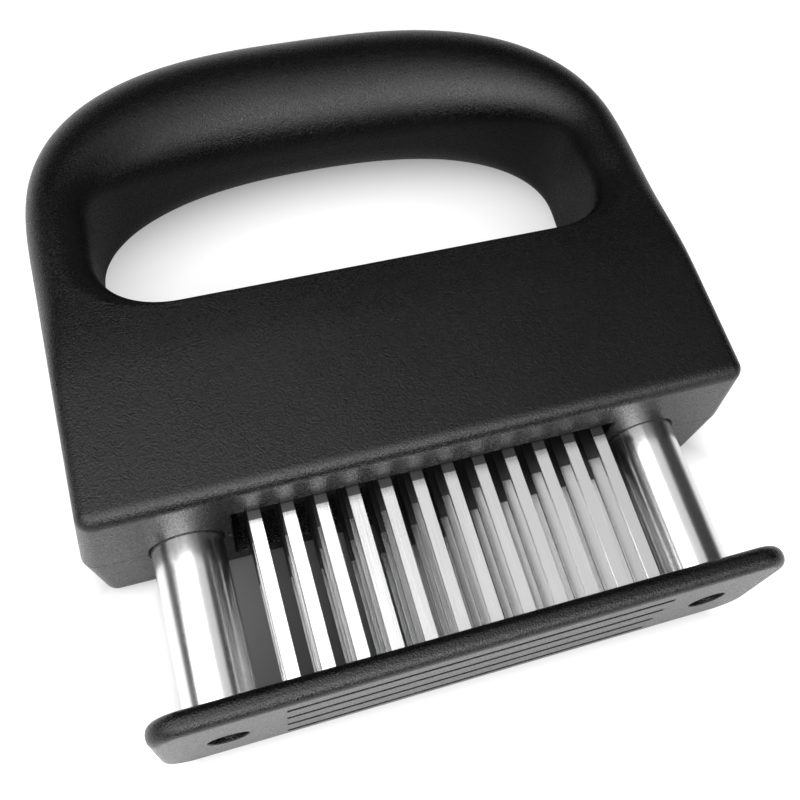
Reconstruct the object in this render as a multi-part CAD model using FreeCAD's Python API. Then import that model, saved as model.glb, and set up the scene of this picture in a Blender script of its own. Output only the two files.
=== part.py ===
"""Blade meat tenderizer, modelled as it is assembled on the bench.

The tool lies on its back: +X runs across its width, +Y from the guard plate towards
the hand grip, +Z out of the front face. All pieces are drawn in a working frame whose
Y = 0 is the guard plate's underside and whose Z = 0 is the parting plane that holds the
guide tubes' axes. Every finished piece is then moved so that the origin is the centre
of the footprint at the lowest point of the back cover. Lengths are in millimetres.
"""
import FreeCAD, Part
import math
import os

Vector = FreeCAD.Vector

# ---- Overall housing ---------------------------------------------------------------
HOUSING_HALF_WIDTH = 78.0      # at the parting plane
FRONT_DEPTH = 25.1             # parting plane to front face
BACK_DEPTH = 21.3              # parting plane to back face
SIDE_DRAFT_DEG = 6.4           # sides narrow away from the parting plane
WALL = 2.4                     # moulded wall
INNER_EDGE_RADIUS = 0.8        # smallest round inside the shells
UNDERSIDE_WALL = 3.0
EDGE_RADIUS = 3.3              # outer edges of the lower block
MOUTH_CHAMFER = 0.4            # broken edge round the pocket and the tube bores

# ---- Guard plate and its distance from the housing -----------------------------------
GUARD_SIDE_STEP = 7.5          # housing's side to the end of the plate
GUARD_DEPTH = 37.4
GUARD_THICKNESS = 5.1
GUARD_OFFSET_Z = 0.9           # the plate is centred on the housing, not on the tubes
GUARD_CORNER_RADIUS = 7.5
GUARD_EDGE_RADIUS = 2.3
GUARD_GAP = 37.7               # open height between plate and housing at rest
TRAVEL = 34.0                  # stroke of the guard

# ---- D-shaped hand grip ---------------------------------------------------------------
OPENING_FLOOR_HEIGHT = 48.2    # housing underside to the floor of the finger opening
ARM_WIDTH = 15.7
OPENING_CORNER_RADIUS = 17.0
OPENING_EDGE_RADIUS = 0.9
SWELL_BELOW_FLOOR = 8.2        # where the outer edges start to swell
OUTER_ARCH_START = 18.4        # heights over the floor of the finger opening
OUTER_ARCH_TOP = 82.5
OUTER_ARCH_POWER = 2.67
INNER_ARCH_START = 27.3
INNER_ARCH_TOP = 50.8
INNER_ARCH_POWER = 2.455
GRIP_FRONT_DEPTH = 18.7        # parting plane to the crest of the grip bar
GRIP_BACK_DEPTH = 15.7
GRIP_ROUNDNESS = 0.96          # corner radius of the bar as a share of its half size
DEPTH_POWER = 0.7              # how fast the arms turn from boxy to round
OUTER_ROUND_POWER = 0.42
INNER_ROUND_POWER = 0.59
ARCH_STEPS = 12                # loft sections over the half turn of the arch
SWELL_STEPS = 4                # loft sections between the plain block and the arms

# ---- Guide tubes, collars, plugs and springs ------------------------------------------
TUBE_INSET = 22.6              # housing's side to a tube's axis
TUBE_OD = 16.0
TUBE_WALL = 1.0
TUBE_SOCKET_DEPTH = 1.6
TUBE_RUNNING_CLEARANCE = 0.3
GUIDE_LENGTH = 9.5             # length of the close bore in the housing's underside
COLLAR_OD = 19.0
COLLAR_FLANGE = 2.0
COLLAR_BORE = 12.6
COLLAR_SLEEVE_LENGTH = 8.0
CHAMBER_CLEARANCE = 0.5        # collar flange to chamber wall
STOP_CLEARANCE = 0.4           # collar to chamber roof at full stroke
PRESS_GAP = 0.02               # light fit between pieces pushed into each other
PLUG_LENGTH = 12.0
SPRING_OD = 11.6
SPRING_WIRE = 1.0
SPRING_TURNS = 11
SPRING_GUIDE_DIAMETER = 8.0
SPRING_GUIDE_LENGTH = 32.0
SPRING_GUIDE_FLANGE_DIAMETER = 12.0
SPRING_GUIDE_FLANGE = 1.8
SPRING_GUIDE_SPIGOT_DIAMETER = 5.0
SPRING_GUIDE_SPIGOT = 1.6
BOSS_WALL = 2.5

# ---- Blade combs -----------------------------------------------------------------------
ROWS = 4
ROW_PITCH = 8.2
BLADES_PER_ROW = 12
BLADE_WIDTH = 3.0
BLADE_THICKNESS = 1.0
BLADE_TIP_HEIGHT = 1.2         # tips wait this far above the plate's underside
BLADE_TIP_LENGTH = 4.8
BLADE_TIP_FLAT = 0.5
BLADE_EDGE_THICKNESS = 0.2     # left at the ground tip
SPINE_END_MARGIN = 1.24        # end of a spine to its first blade
SPINE_HEIGHT = 24.0
SPINE_RECESS = 8.0             # housing underside to the lower edge of the comb pack
SLOT_WIDTH = 1.8
SLOT_END_CLEARANCE = 1.2
POCKET_TO_TUBE = 10.4          # end of the pocket to a tube's axis
POCKET_END_STEP = 2.0          # end of the pocket to the end of the comb pack
POCKET_CLEARANCE = 0.1
PIN_DIAMETER = 5.0
PIN_INSET = 10.0               # end of a spine to a pin's axis
PIN_SEAT_DEPTH = 4.5
PIN_HOLE_CLEARANCE = 0.05
PACK_END_CLEARANCE = 0.3
RIB_THICKNESS = 2.0
SHELF_THICKNESS = 2.5
SPACER_RIM = 4.8               # left above and below a spacer's cores

# ---- Fasteners ---------------------------------------------------------------------------
SCREW_DIAMETER = 2.8           # housing screws
SCREW_HEAD_DIAMETER = 5.6
SCREW_HEAD_HEIGHT = 2.0
SCREW_LENGTH = 20.0
SCREW_SEAT_DEPTH = 12.0        # parting plane to the seat of a screw head
SCREW_DRIVE_DEPTH = 1.1
SCREW_DRIVE_WIDTH = 0.8
SCREW_DRIVE_SHARE = 0.6        # length of the drive slots as a share of the head
SCREW_BOSS_DIAMETER = 8.4
SCREW_CLEARANCE = 0.3
LOWER_SCREW_INSET = 7.0        # housing's side to the axis of a lower screw
LOWER_SCREW_HEIGHT = 9.0
MIDDLE_SCREW_SHARE = 0.75      # place of a middle screw on the way to the outermost rib
MIDDLE_SCREW_DROP = 7.7        # floor of the finger opening to the axis of a middle screw
GRIP_SCREW_ANGLE = 132.0       # place along the arch, in degrees from the right
PLATE_SCREW_DIAMETER = 4.0
PLATE_SCREW_HEAD_DIAMETER = 7.2
PLATE_SCREW_HEAD_HEIGHT = 1.6
PLATE_SCREW_RECESS_DIAMETER = 8.8
PLATE_SCREW_RECESS_DEPTH = 2.6
PLATE_SCREW_LENGTH = 10.4
PILOT_CLEARANCE = 0.6          # end of a plate screw to the end of its hole

# ---- Values that follow from the above -----------------------------------------------------
OPENING_HALF_WIDTH = HOUSING_HALF_WIDTH - ARM_WIDTH
GUARD_LENGTH = 2 * (HOUSING_HALF_WIDTH - GUARD_SIDE_STEP)
TUBE_X = HOUSING_HALF_WIDTH - TUBE_INSET
POCKET_HALF_LENGTH = TUBE_X - POCKET_TO_TUBE
SPINE_HALF_LENGTH = POCKET_HALF_LENGTH - POCKET_END_STEP
BLADE_PITCH = (2 * (SPINE_HALF_LENGTH - SPINE_END_MARGIN) - BLADE_WIDTH) / (BLADES_PER_ROW - 1)
PIN_X = SPINE_HALF_LENGTH - PIN_INSET
RIB_REACH = SPINE_HALF_LENGTH - RIB_THICKNESS / 2
RIB_POSITIONS = [RIB_REACH * share for share in (-1.0, -0.5, 0.0, 0.5, 1.0)]
LOWER_SCREW_X = HOUSING_HALF_WIDTH - LOWER_SCREW_INSET
MIDDLE_SCREW_X = MIDDLE_SCREW_SHARE * RIB_REACH
UNDERSIDE_Y = GUARD_THICKNESS + GUARD_GAP
OPENING_FLOOR_Y = UNDERSIDE_Y + OPENING_FLOOR_HEIGHT
ARM_BASE_Y = OPENING_FLOOR_Y + OPENING_CORNER_RADIUS
SWELL_START_Y = OPENING_FLOOR_Y - SWELL_BELOW_FLOOR
SWELL_LENGTH = ARM_BASE_Y - SWELL_START_Y
TOP_Y = OPENING_FLOOR_Y + OUTER_ARCH_TOP
SIDE_DRAFT = math.tan(math.radians(SIDE_DRAFT_DEG))
GUIDE_RADIUS = TUBE_OD / 2 + TUBE_RUNNING_CLEARANCE
CHAMBER_RADIUS = COLLAR_OD / 2 + CHAMBER_CLEARANCE
LEDGE_Y = UNDERSIDE_Y + GUIDE_LENGTH
ROOF_Y = LEDGE_Y + COLLAR_FLANGE + TRAVEL + STOP_CLEARANCE
TUBE_BASE_Y = GUARD_THICKNESS - TUBE_SOCKET_DEPTH
TUBE_TOP_Y = LEDGE_Y
TUBE_BORE = TUBE_OD - 2 * TUBE_WALL
PLUG_TOP_Y = TUBE_BASE_Y + PLUG_LENGTH
PACK_BOTTOM_Y = UNDERSIDE_Y + SPINE_RECESS
PACK_TOP_Y = PACK_BOTTOM_Y + SPINE_HEIGHT
PACK_HALF_DEPTH = (ROWS - 1) * ROW_PITCH / 2 + BLADE_THICKNESS / 2
PIN_Y = PACK_BOTTOM_Y + SPINE_HEIGHT / 2
ROW_Z = [(ROWS - 1) * ROW_PITCH / 2 - i * ROW_PITCH for i in range(ROWS)]
BIG = 400.0                    # side of a helper solid larger than the tool
TOUCH = 1e-6                   # distance at which points count as the same
SIDES = {"left": -1, "right": 1}


# ---- Small helpers ---------------------------------------------------------------------------
def box(x0, x1, y0, y1, z0, z1):
    """Box between two corners."""
    return Part.makeBox(x1 - x0, y1 - y0, z1 - z0, Vector(x0, y0, z0))


def rod_y(radius, x, y0, y1, z=0.0):
    """Cylinder along Y between two heights."""
    return Part.makeCylinder(radius, y1 - y0, Vector(x, y0, z), Vector(0, 1, 0))


def rod_z(radius, x, y, z0, z1):
    """Cylinder along Z between two depths."""
    return Part.makeCylinder(radius, z1 - z0, Vector(x, y, z0), Vector(0, 0, 1))


def tube_y(outer, inner, x, y0, y1):
    """Hollow cylinder along Y."""
    return rod_y(outer, x, y0, y1).cut(rod_y(inner, x, y0, y1))


def fuse_all(shapes):
    """One shape from a list of overlapping solids."""
    result = shapes[0]
    if len(shapes) > 1:
        result = result.multiFuse(shapes[1:])
    return result.removeSplitter()


def edges_where(shape, test):
    """Edges whose middle point passes a test."""
    chosen = []
    for edge in shape.Edges:
        middle = edge.valueAt((edge.FirstParameter + edge.LastParameter) / 2)
        if test(middle):
            chosen.append(edge)
    return chosen


# ---- Hand grip: sections and loft ---------------------------------------------------------------
def arch_point(angle, half_width, start, top, power):
    """Point of a superellipse arch that stands on straight arms."""
    cosine, sine = math.cos(angle), math.sin(angle)
    x = half_width * math.copysign(abs(cosine) ** (2 / power), cosine)
    y = start + (top - start) * abs(sine) ** (2 / power)
    return Vector(x, OPENING_FLOOR_Y + y, 0)


def outer_point(angle):
    return arch_point(angle, HOUSING_HALF_WIDTH, OUTER_ARCH_START, OUTER_ARCH_TOP, OUTER_ARCH_POWER)


def inner_point(angle):
    return arch_point(angle, OPENING_HALF_WIDTH, INNER_ARCH_START, INNER_ARCH_TOP, INNER_ARCH_POWER)


def grip_stations():
    """Outer and inner points of each loft section, from the left arm over to the right."""
    left_base = (Vector(-HOUSING_HALF_WIDTH, ARM_BASE_Y, 0), Vector(-OPENING_HALF_WIDTH, ARM_BASE_Y, 0))
    angles = [math.pi * (1 - i / ARCH_STEPS) for i in range(ARCH_STEPS + 1)]
    arch = [(outer_point(a), inner_point(a)) for a in angles]
    left_middle = tuple((left_base[k] + arch[0][k]) * 0.5 for k in range(2))
    mirrored = [tuple(Vector(-p.x, p.y, 0) for p in pair) for pair in (left_middle, left_base)]
    return [left_base, left_middle] + arch + mirrored


def grip_path(stations):
    """Way along the grip from each section to the nearer arm base, and the way to the crown."""
    centres = [(outer + inner) * 0.5 for outer, inner in stations]
    travelled = [0.0]
    for a, b in zip(centres, centres[1:]):
        travelled.append(travelled[-1] + (b - a).Length)
    half = travelled[-1] / 2
    return [max(0.0, min(s, 2 * half - s)) for s in travelled], half


def smooth_step(t):
    return t * t * (3 - 2 * t)


def swollen_radius(way, side):
    """Outer edge radius at a distance above the start of the swell."""
    half = grip_path(grip_stations())[1]
    share = smooth_step(min(1.0, way / (half + SWELL_LENGTH)))
    return EDGE_RADIUS + (bar_depth(side) - EDGE_RADIUS) * share ** OUTER_ROUND_POWER


def drafted_corner(half, face, radius, slope):
    """First, middle and last point of the round between a drafted wall and the face."""
    tilt = math.atan(slope)
    centre = half - slope * (face - radius) - radius / math.cos(tilt)
    angles = [tilt, (tilt + math.pi / 2) / 2, math.pi / 2]
    return [(centre + radius * math.cos(a), face - radius + radius * math.sin(a)) for a in angles]


def half_section(outer, inner, depth, outer_radius, inner_radius, slope, side, inset=0.0):
    """Closed half profile of the grip on one side of the parting plane.

    The profile lies in the plane through the outer and inner point and Z: a drafted
    outer wall, a rounded outer edge, the face, a rounded inner edge and the inner wall.
    """
    centre = (outer + inner) * 0.5
    half = (outer - inner).Length / 2 - inset
    direction = (outer - inner).normalize()
    face = depth - inset
    limit = GRIP_ROUNDNESS * min(half, face)
    ro = min(max(outer_radius - inset, INNER_EDGE_RADIUS), limit)
    ri = min(max(inner_radius - inset, INNER_EDGE_RADIUS), limit)

    def at(across, along):
        return centre + direction * across + Vector(0, 0, side * along)

    wall_end, crest, face_end = drafted_corner(half, face, ro, slope)
    inner_arc = Part.Arc(
        at(-half + ri, face),
        at(-half + ri - ri * math.sin(math.pi / 4), face - ri + ri * math.cos(math.pi / 4)),
        at(-half, face - ri),
    ).toShape()
    edges = [
        Part.makeLine(at(half, 0), at(*wall_end)),
        Part.Arc(at(*wall_end), at(*crest), at(*face_end)).toShape(),
        Part.makeLine(at(*face_end), at(-half + ri, face)),
        inner_arc,
        Part.makeLine(at(-half, face - ri), at(-half, 0)),
        Part.makeLine(at(-half, 0), at(half, 0)),
    ]
    return Part.Wire(edges)


def arm_depth(side):
    return FRONT_DEPTH if side > 0 else BACK_DEPTH


def bar_depth(side):
    return GRIP_FRONT_DEPTH if side > 0 else GRIP_BACK_DEPTH


def grip_loft(side, inset=0.0):
    """Half of the D grip, front (+1) or back (-1), solid or inset for its cavity."""
    stations = grip_stations()
    arm, bar = arm_depth(side), bar_depth(side)
    ways, half_way = grip_path(stations)
    wires = []
    for (outer, inner), way in zip(stations, ways):
        share = smooth_step(way / half_way)
        depth = arm + (bar - arm) * share ** DEPTH_POWER
        ro = swollen_radius(way + SWELL_LENGTH, side)
        ri = OPENING_EDGE_RADIUS + (bar - OPENING_EDGE_RADIUS) * share ** INNER_ROUND_POWER
        slope = SIDE_DRAFT * (1 - share)
        wires.append(half_section(outer, inner, depth, ro, ri, slope, side, inset))
    return Part.makeLoft(wires, True, False)


# ---- Lower block of the housing -----------------------------------------------------------------
def block_half(side, inset=0.0, floor_inset=0.0):
    """Drafted prism up to the start of the swell, on one side of the parting plane."""
    face = arm_depth(side) - inset
    wide = HOUSING_HALF_WIDTH - inset
    narrow = wide - SIDE_DRAFT * face
    y0 = UNDERSIDE_Y + floor_inset
    corners = [(-wide, 0), (-narrow, side * face), (narrow, side * face), (wide, 0), (-wide, 0)]
    profile = Part.Face(Part.makePolygon([Vector(x, y0, z) for x, z in corners]))
    return profile.extrude(Vector(0, SWELL_START_Y - y0, 0))


def swell_section(y, side, inset):
    """Closed half profile across the housing's full width, with both outer edges rounded."""
    half, face = HOUSING_HALF_WIDTH - inset, arm_depth(side) - inset
    radius = max(swollen_radius(y - SWELL_START_Y, side) - inset, INNER_EDGE_RADIUS)
    outline = [(half, 0)] + drafted_corner(half, face, radius, SIDE_DRAFT)
    right = [Vector(x, y, side * z) for x, z in outline]
    left = [Vector(-x, y, side * z) for x, z in outline]
    return Part.Wire([
        Part.makeLine(right[0], right[1]),
        Part.Arc(*right[1:]).toShape(),
        Part.makeLine(right[3], left[3]),
        Part.Arc(left[3], left[2], left[1]).toShape(),
        Part.makeLine(left[1], left[0]),
        Part.makeLine(left[0], right[0]),
    ])


def swell_loft(side, inset=0.0):
    """Upper part of the block, where the outer edges swell towards the arms."""
    steps = [i / (SWELL_STEPS - 1) for i in range(SWELL_STEPS)]
    wires = [swell_section(SWELL_START_Y + SWELL_LENGTH * step, side, inset) for step in steps]
    return Part.makeLoft(wires, True, False)


def rounded_block(side):
    """The block with its outer edges rounded, apart from those at the parting plane."""
    block = block_half(side)
    outer_edges = edges_where(block, lambda m: abs(m.z) > TOUCH and m.y < SWELL_START_Y - TOUCH)
    return block.makeFillet(EDGE_RADIUS, outer_edges).fuse(swell_loft(side))


def opening_prism(growth=0.0):
    """Lower part of the finger opening, grown outwards for the wall around it."""
    half = OPENING_HALF_WIDTH + growth
    prism = box(-half, half, OPENING_FLOOR_Y - growth, ARM_BASE_Y + WALL, -BIG, BIG)
    corners = edges_where(prism, lambda m: abs(m.z) < TOUCH and m.y < OPENING_FLOOR_Y + TOUCH)
    return prism.makeFillet(OPENING_CORNER_RADIUS + growth, corners)


def housing_envelope(side):
    """Outer form of one shell: block with the lower half of the opening, and the grip."""
    block = rounded_block(side).cut(opening_prism())
    face_z = side * arm_depth(side)
    lip = edges_where(block, lambda m: abs(m.z - face_z) < TOUCH and m.y > OPENING_FLOOR_Y - TOUCH
                      and abs(m.x) < OPENING_HALF_WIDTH and m.y < ARM_BASE_Y - TOUCH)
    block = block.makeFillet(OPENING_EDGE_RADIUS, lip)
    return block.fuse(grip_loft(side))


def housing_cavity(side):
    """Hollow of one shell, open at the parting plane."""
    block = block_half(side, WALL, UNDERSIDE_WALL).fuse(swell_loft(side, WALL))
    return block.cut(opening_prism(WALL)).fuse(grip_loft(side, WALL))


# ---- What the shells hold inside ----------------------------------------------------------------
def grip_screw_place(sign):
    angle = math.radians(GRIP_SCREW_ANGLE)
    centre = (outer_point(angle) + inner_point(angle)) * 0.5
    return (sign * abs(centre.x), centre.y)


def screw_places():
    """X and Y of the housing screws, two in the grip and four in the block."""
    places = []
    for sign in SIDES.values():
        places.append((sign * LOWER_SCREW_X, UNDERSIDE_Y + LOWER_SCREW_HEIGHT))
        places.append((sign * MIDDLE_SCREW_X, OPENING_FLOOR_Y - MIDDLE_SCREW_DROP))
        places.append(grip_screw_place(sign))
    return places


def span(side, near, far):
    """Low and high Z of a stretch on one side of the parting plane."""
    return (near, far) if side > 0 else (-far, -near)


def shell_ribs(side):
    """Bosses, ribs, shelf and case that carry the tubes, the comb pack and the screws."""
    z0, z1 = span(side, 0.0, arm_depth(side))
    pack0, pack1 = span(side, PACK_HALF_DEPTH, arm_depth(side))
    half_rib = RIB_THICKNESS / 2
    shelf_top = PACK_TOP_Y + SHELF_THICKNESS
    case_x = POCKET_HALF_LENGTH + RIB_THICKNESS
    case_z = PACK_HALF_DEPTH + POCKET_CLEARANCE + RIB_THICKNESS
    parts = [
        box(-TUBE_X, TUBE_X, PACK_TOP_Y, shelf_top, z0, z1),
        box(-case_x, case_x, UNDERSIDE_Y + WALL, shelf_top, -case_z, case_z),
    ]
    for x in RIB_POSITIONS:
        parts.append(box(x - half_rib, x + half_rib, PACK_BOTTOM_Y, shelf_top, pack0, pack1))
    for x in RIB_POSITIONS[1:-1]:
        parts.append(box(x - half_rib, x + half_rib, PACK_TOP_Y, OPENING_FLOOR_Y - WALL / 2, z0, z1))
    for sign in SIDES.values():
        x = sign * TUBE_X
        boss_top = ROOF_Y + SPRING_GUIDE_SPIGOT + WALL
        parts.append(rod_y(CHAMBER_RADIUS + BOSS_WALL, x, UNDERSIDE_Y + WALL, boss_top))
        parts.append(box(x - half_rib, x + half_rib, UNDERSIDE_Y + WALL, ARM_BASE_Y, z0, z1))
        parts.append(rod_z(PIN_DIAMETER / 2 + BOSS_WALL, sign * PIN_X, PIN_Y, pack0, pack1))
        web_low, web_high = sorted([x, sign * HOUSING_HALF_WIDTH])
        web_y = UNDERSIDE_Y + LOWER_SCREW_HEIGHT
        parts.append(box(web_low, web_high, web_y - half_rib, web_y + half_rib, z0, z1))
    for x, y in screw_places():
        parts.append(rod_z(SCREW_BOSS_DIAMETER / 2, x, y, z0, z1))
    half_space = box(-BIG, BIG, -BIG, BIG, *span(side, 0.0, BIG))
    return fuse_all(parts).common(half_space)


def pocket():
    """Recess in the underside where the blades come out, with a broken edge at its mouth."""
    half_z = PACK_HALF_DEPTH + POCKET_CLEARANCE
    wide_x, wide_z = POCKET_HALF_LENGTH + 2 * MOUTH_CHAMFER, half_z + 2 * MOUTH_CHAMFER
    low, high = UNDERSIDE_Y - MOUTH_CHAMFER, UNDERSIDE_Y + MOUTH_CHAMFER
    recess = box(-POCKET_HALF_LENGTH, POCKET_HALF_LENGTH, low, PACK_BOTTOM_Y, -half_z, half_z)
    mouth = Part.makeWedge(-wide_x, low, -wide_z, -half_z, -POCKET_HALF_LENGTH,
                           wide_x, high, wide_z, half_z, POCKET_HALF_LENGTH)
    return recess.fuse(mouth)


def guide_bore(sign):
    """Close bore for a tube through the underside, with a broken edge at its mouth."""
    low = UNDERSIDE_Y - MOUTH_CHAMFER
    bore = rod_y(GUIDE_RADIUS, sign * TUBE_X, low, LEDGE_Y)
    mouth = Part.makeCone(GUIDE_RADIUS + 2 * MOUTH_CHAMFER, GUIDE_RADIUS, 2 * MOUTH_CHAMFER,
                          Vector(sign * TUBE_X, low, 0), Vector(0, 1, 0))
    return bore.fuse(mouth)


def shell_bores(side):
    """Everything that is open through the bosses: tube bores, pocket, pins and screws."""
    pack_x, pack_z = SPINE_HALF_LENGTH + PACK_END_CLEARANCE, PACK_HALF_DEPTH
    holes = [pocket(), box(-pack_x, pack_x, PACK_BOTTOM_Y, PACK_TOP_Y, -pack_z, pack_z)]
    for sign in SIDES.values():
        x = sign * TUBE_X
        spigot = SPRING_GUIDE_SPIGOT_DIAMETER / 2 + PRESS_GAP
        holes.append(guide_bore(sign))
        holes.append(rod_y(CHAMBER_RADIUS, x, LEDGE_Y, ROOF_Y))
        holes.append(rod_y(spigot, x, ROOF_Y, ROOF_Y + SPRING_GUIDE_SPIGOT))
        pin_reach = PACK_HALF_DEPTH + PIN_SEAT_DEPTH
        holes.append(rod_z(PIN_DIAMETER / 2 + PRESS_GAP, sign * PIN_X, PIN_Y, -pin_reach, pin_reach))
    for x, y in screw_places():
        shank = SCREW_DIAMETER / 2
        head = SCREW_HEAD_DIAMETER / 2
        if side > 0:
            holes.append(rod_z(shank + PRESS_GAP, x, y, 0, SCREW_LENGTH - SCREW_SEAT_DEPTH + WALL / 2))
        else:
            holes.append(rod_z(shank + SCREW_CLEARANCE, x, y, -SCREW_SEAT_DEPTH, 0))
            holes.append(rod_z(head + SCREW_CLEARANCE, x, y, -BIG, -SCREW_SEAT_DEPTH))
    return holes


def housing_shell(side):
    """Front shell (+1) or back cover (-1): a moulded wall with its ribs and bosses."""
    envelope = housing_envelope(side)
    ribs = shell_ribs(side).common(envelope)
    shell = envelope.cut(housing_cavity(side)).fuse(ribs)
    return shell.cut(shell_bores(side)).removeSplitter()


# ---- Blade combs and their pack -------------------------------------------------------------------
def comb_outline():
    """Points of one stamped comb: a spine with a row of pointed blades below it."""
    full_width_y = BLADE_TIP_HEIGHT + BLADE_TIP_LENGTH
    points = [(-SPINE_HALF_LENGTH, PACK_TOP_Y), (-SPINE_HALF_LENGTH, PACK_BOTTOM_Y)]
    for i in range(BLADES_PER_ROW):
        x = (i - (BLADES_PER_ROW - 1) / 2) * BLADE_PITCH
        left, right = x - BLADE_WIDTH / 2, x + BLADE_WIDTH / 2
        points += [(left, PACK_BOTTOM_Y), (left, full_width_y)]
        points += [(x - BLADE_TIP_FLAT / 2, BLADE_TIP_HEIGHT), (x + BLADE_TIP_FLAT / 2, BLADE_TIP_HEIGHT)]
        points += [(right, full_width_y), (right, PACK_BOTTOM_Y)]
    points += [(SPINE_HALF_LENGTH, PACK_BOTTOM_Y), (SPINE_HALF_LENGTH, PACK_TOP_Y)]
    return points


def comb_pin_holes(z0, z1):
    radius = PIN_DIAMETER / 2 + PIN_HOLE_CLEARANCE
    return [rod_z(radius, sign * PIN_X, PIN_Y, z0, z1) for sign in SIDES.values()]


def blade_comb(z):
    """One comb, its blades ground to a chisel edge over the length of their tips."""
    back, front = z - BLADE_THICKNESS / 2, z + BLADE_THICKNESS / 2
    outline = [Vector(x, y, back) for x, y in comb_outline()]
    comb = Part.Face(Part.makePolygon(outline + outline[:1])).extrude(Vector(0, 0, BLADE_THICKNESS))
    edge_z = back + BLADE_EDGE_THICKNESS
    grind_top = BLADE_TIP_HEIGHT + BLADE_TIP_LENGTH
    wedge = [(grind_top, front), (BLADE_TIP_HEIGHT, edge_z), (BLADE_TIP_HEIGHT, front), (grind_top, front)]
    wedge_face = Part.Face(Part.makePolygon([Vector(-SPINE_HALF_LENGTH, y, zz) for y, zz in wedge]))
    grind = wedge_face.extrude(Vector(2 * SPINE_HALF_LENGTH, 0, 0))
    return comb.cut([grind] + comb_pin_holes(back, front))


def comb_spacer(z):
    """Moulded bar between two combs, cored out between its pins."""
    half = (ROW_PITCH - BLADE_THICKNESS) / 2
    bar = box(-SPINE_HALF_LENGTH, SPINE_HALF_LENGTH, PACK_BOTTOM_Y, PACK_TOP_Y, z - half, z + half)
    core_x, core_low, core_high = SPINE_HALF_LENGTH / 2, PACK_BOTTOM_Y + SPACER_RIM, PACK_TOP_Y - SPACER_RIM
    core = box(-core_x, core_x, core_low, core_high, z - half, z + half)
    web = box(-RIB_THICKNESS / 2, RIB_THICKNESS / 2, PACK_BOTTOM_Y, PACK_TOP_Y, z - half, z + half)
    return bar.cut([core.cut(web)] + comb_pin_holes(z - half, z + half))


def comb_pins():
    reach = PACK_HALF_DEPTH + PIN_SEAT_DEPTH
    return Part.makeCompound([rod_z(PIN_DIAMETER / 2, sign * PIN_X, PIN_Y, -reach, reach)
                              for sign in SIDES.values()])


# ---- Fasteners --------------------------------------------------------------------------------------
def cross_screw(diameter, head_diameter, head_height, length):
    """Pan-head screw along +Z with the seat of its head at the origin."""
    head = Part.makeCylinder(head_diameter / 2, head_height, Vector(0, 0, -head_height))
    crown = edges_where(head, lambda m: abs(m.z + head_height) < TOUCH)
    head = head.makeFillet(head_height / 2, crown)
    arm = SCREW_DRIVE_SHARE * head_diameter / 2
    half = SCREW_DRIVE_WIDTH / 2
    low = -head_height
    drive = [box(-arm, arm, -half, half, low, low + SCREW_DRIVE_DEPTH),
             box(-half, half, -arm, arm, low, low + SCREW_DRIVE_DEPTH)]
    shank = Part.makeCylinder(diameter / 2, length)
    return head.cut(drive).fuse(shank).removeSplitter()


def housing_screws():
    screws = []
    for x, y in screw_places():
        screw = cross_screw(SCREW_DIAMETER, SCREW_HEAD_DIAMETER, SCREW_HEAD_HEIGHT, SCREW_LENGTH)
        screw.translate(Vector(x, y, -SCREW_SEAT_DEPTH))
        screws.append(screw)
    return Part.makeCompound(screws)


def plate_screws():
    screws = []
    for sign in SIDES.values():
        screw = cross_screw(PLATE_SCREW_DIAMETER, PLATE_SCREW_HEAD_DIAMETER,
                            PLATE_SCREW_HEAD_HEIGHT, PLATE_SCREW_LENGTH)
        screw.rotate(Vector(0, 0, 0), Vector(1, 0, 0), -90)
        screw.translate(Vector(sign * TUBE_X, PLATE_SCREW_RECESS_DEPTH, 0))
        screws.append(screw)
    return Part.makeCompound(screws)


# ---- Guard: plate, tubes, collars, plugs -----------------------------------------------------------
def guard_plate():
    """Slotted plate with a rounded rim, tube sockets above and screw recesses below."""
    half_length, half_depth = GUARD_LENGTH / 2, GUARD_DEPTH / 2
    plate = box(-half_length, half_length, 0, GUARD_THICKNESS,
                GUARD_OFFSET_Z - half_depth, GUARD_OFFSET_Z + half_depth)
    upright = edges_where(plate, lambda m: abs(m.y - GUARD_THICKNESS / 2) < TOUCH)
    plate = plate.makeFillet(GUARD_CORNER_RADIUS, upright)
    rims = edges_where(plate, lambda m: m.y < TOUCH or m.y > GUARD_THICKNESS - TOUCH)
    plate = plate.makeFillet(GUARD_EDGE_RADIUS, rims)
    blade_reach = (BLADES_PER_ROW - 1) / 2 * BLADE_PITCH + BLADE_WIDTH / 2
    slot_half = blade_reach + SLOT_END_CLEARANCE
    cuts = [box(-slot_half, slot_half, 0, GUARD_THICKNESS, z - SLOT_WIDTH / 2, z + SLOT_WIDTH / 2)
            for z in ROW_Z]
    for sign in SIDES.values():
        x = sign * TUBE_X
        cuts.append(rod_y(TUBE_OD / 2 + PRESS_GAP, x, TUBE_BASE_Y, GUARD_THICKNESS))
        cuts.append(rod_y(PLATE_SCREW_RECESS_DIAMETER / 2, x, 0, PLATE_SCREW_RECESS_DEPTH))
        cuts.append(rod_y(PLATE_SCREW_DIAMETER / 2 + SCREW_CLEARANCE, x, 0, TUBE_BASE_Y))
    return plate.cut(cuts)


def guide_tube(sign):
    return tube_y(TUBE_OD / 2, TUBE_BORE / 2, sign * TUBE_X, TUBE_BASE_Y, TUBE_TOP_Y)


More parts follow.
